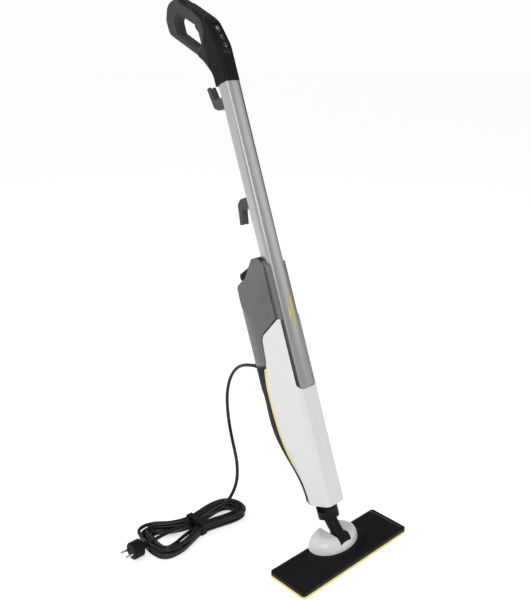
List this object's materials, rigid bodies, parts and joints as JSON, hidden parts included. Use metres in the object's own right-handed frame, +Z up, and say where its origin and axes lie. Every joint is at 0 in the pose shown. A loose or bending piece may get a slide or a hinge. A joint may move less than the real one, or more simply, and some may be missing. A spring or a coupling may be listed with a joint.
{
  "type": "steam mop",
  "caption": "Upright steam mop leaning back on a flat rectangular head, with a loop handle, a slim square-edged tube, a rear water tank and a long mains cord.",
  "frame": {"origin": "centre of the sole, on the floor", "axes": "+Z up; X along the long side of the head; the front of the mop faces -Y and the handle leans back towards +Y"},
  "size_m": [0.503, 0.5726, 1.088],
  "materials": {
    "yellow_plastic": "satin",
    "black_plastic": "fine grain",
    "white_plastic": "smooth",
    "black_rubber": "matt",
    "grey_plastic": "satin",
    "dark_grey_plastic": "soft touch",
    "steel": "plated",
    "hook_strip": "hook pile",
    "cord_black": "satin",
    "plated_pin": "polished",
    "aluminium_tube": "anodised satin",
    "smoked_clear": "smoked clear",
    "cast_aluminium": "cast",
    "clear_hose": "silicone",
    "board_green": "circuit board",
    "gloss_black": "gloss",
    "button_grey": "satin"
  },
  "bodies": {
    "unit": {"cord_tube": "cord_black", "cord_hank": "cord_black", "cord_tie": "black_rubber", "plug_body": "black_rubber", "plug_pins": "plated_pin", "swivel_pin": "steel", "collar": "black_plastic", "front_shell": "white_plastic", "rear_cover": "black_plastic", "trim_band": "yellow_plastic", "shell_screws": "steel", "spine": "grey_plastic", "tube": "aluminium_tube", "badge": "yellow_plastic", "hook_pads": "dark_grey_plastic", "hook_lower": "dark_grey_plastic", "hook_screws": "steel", "tank_socket": "grey_plastic", "boiler": "cast_aluminium", "thermostats": "steel", "pump": "grey_plastic", "feed_hose": "clear_hose", "pressure_hose": "clear_hose", "steam_hose": "clear_hose", "control_board": "board_green", "board_carrier": "grey_plastic", "handle_left": "black_plastic", "handle_right": "black_plastic", "handle_screws": "steel", "grip_loop": "dark_grey_plastic", "keypad_bezel": "gloss_black", "trigger_pin": "steel", "trigger_spring": "steel", "micro_switch": "gloss_black", "handle_board": "board_green", "cord_guard": "black_rubber"},
    "neck": {"neck_knuckle": "black_plastic"},
    "head": {"base_plate": "yellow_plastic", "head_cover": "black_plastic", "saddle_cover": "white_plastic", "head_seal": "black_rubber", "steam_distributor": "grey_plastic", "head_screws": "steel", "pad_strips": "hook_strip", "axle_bushes": "grey_plastic", "head_axle": "steel"},
    "tank": {"tank": "smoked_clear", "tank_valve": "black_plastic", "valve_seal": "black_rubber", "latch_pin": "steel"},
    "tank_latch": {"tank_latch": "black_plastic"},
    "hook_upper": {"hook_upper": "dark_grey_plastic"},
    "trigger": {"trigger": "black_plastic"},
    "button_top": {"button_top": "button_grey"},
    "button_middle": {"button_middle": "button_grey"},
    "button_low": {"button_low": "button_grey"}
  },
  "joints": [
    {"name": "neck_swivel", "type": "hinge", "parent": "unit", "child": "neck", "pos_m": [0, 0.04045, 0.08607], "axis": [0, 0.9367, -0.3502], "range_deg": [-35, 35]},
    {"name": "head_pitch", "type": "hinge", "parent": "neck", "child": "head", "pos_m": [0, 0, 0.035], "axis": [1, 0, 0], "range_deg": [-20, 44]},
    {"name": "tank_lift", "type": "slide", "parent": "unit", "child": "tank", "axis": [0, 0.3502, 0.9367], "range_m": [0, 0.06]},
    {"name": "latch_swing", "type": "hinge", "parent": "tank", "child": "tank_latch", "pos_m": [0, 0.26096, 0.55878], "axis": [1, 0, 0], "range_deg": [0, 30], "stiffness_Nm_per_rad": 0.06, "springref_deg": -20.05},
    {"name": "hook_turn", "type": "hinge", "parent": "unit", "child": "hook_upper", "pos_m": [0, 0.34865, 0.88471], "axis": [0, 0.9367, -0.3502], "range_deg": [0, 180]},
    {"name": "trigger_pull", "type": "hinge", "parent": "unit", "child": "trigger", "pos_m": [0, 0.41392, 1.045], "axis": [-1, 0, 0], "range_deg": [0, 9], "stiffness_Nm_per_rad": 1.2, "springref_deg": -6.88},
    {"name": "button_top_press", "type": "slide", "parent": "unit", "child": "button_top", "axis": [0, 0.7803, -0.6254], "range_m": [0, 0.0012], "stiffness_N_per_m": 600, "springref_m": -0.0008},
    {"name": "button_middle_press", "type": "slide", "parent": "unit", "child": "button_middle", "axis": [0, 0.7803, -0.6254], "range_m": [0, 0.0012], "stiffness_N_per_m": 600, "springref_m": -0.0008},
    {"name": "button_low_press", "type": "slide", "parent": "unit", "child": "button_low", "axis": [0, 0.8805, -0.4741], "range_m": [0, 0.0012], "stiffness_N_per_m": 600, "springref_m": -0.0008}
  ]
}
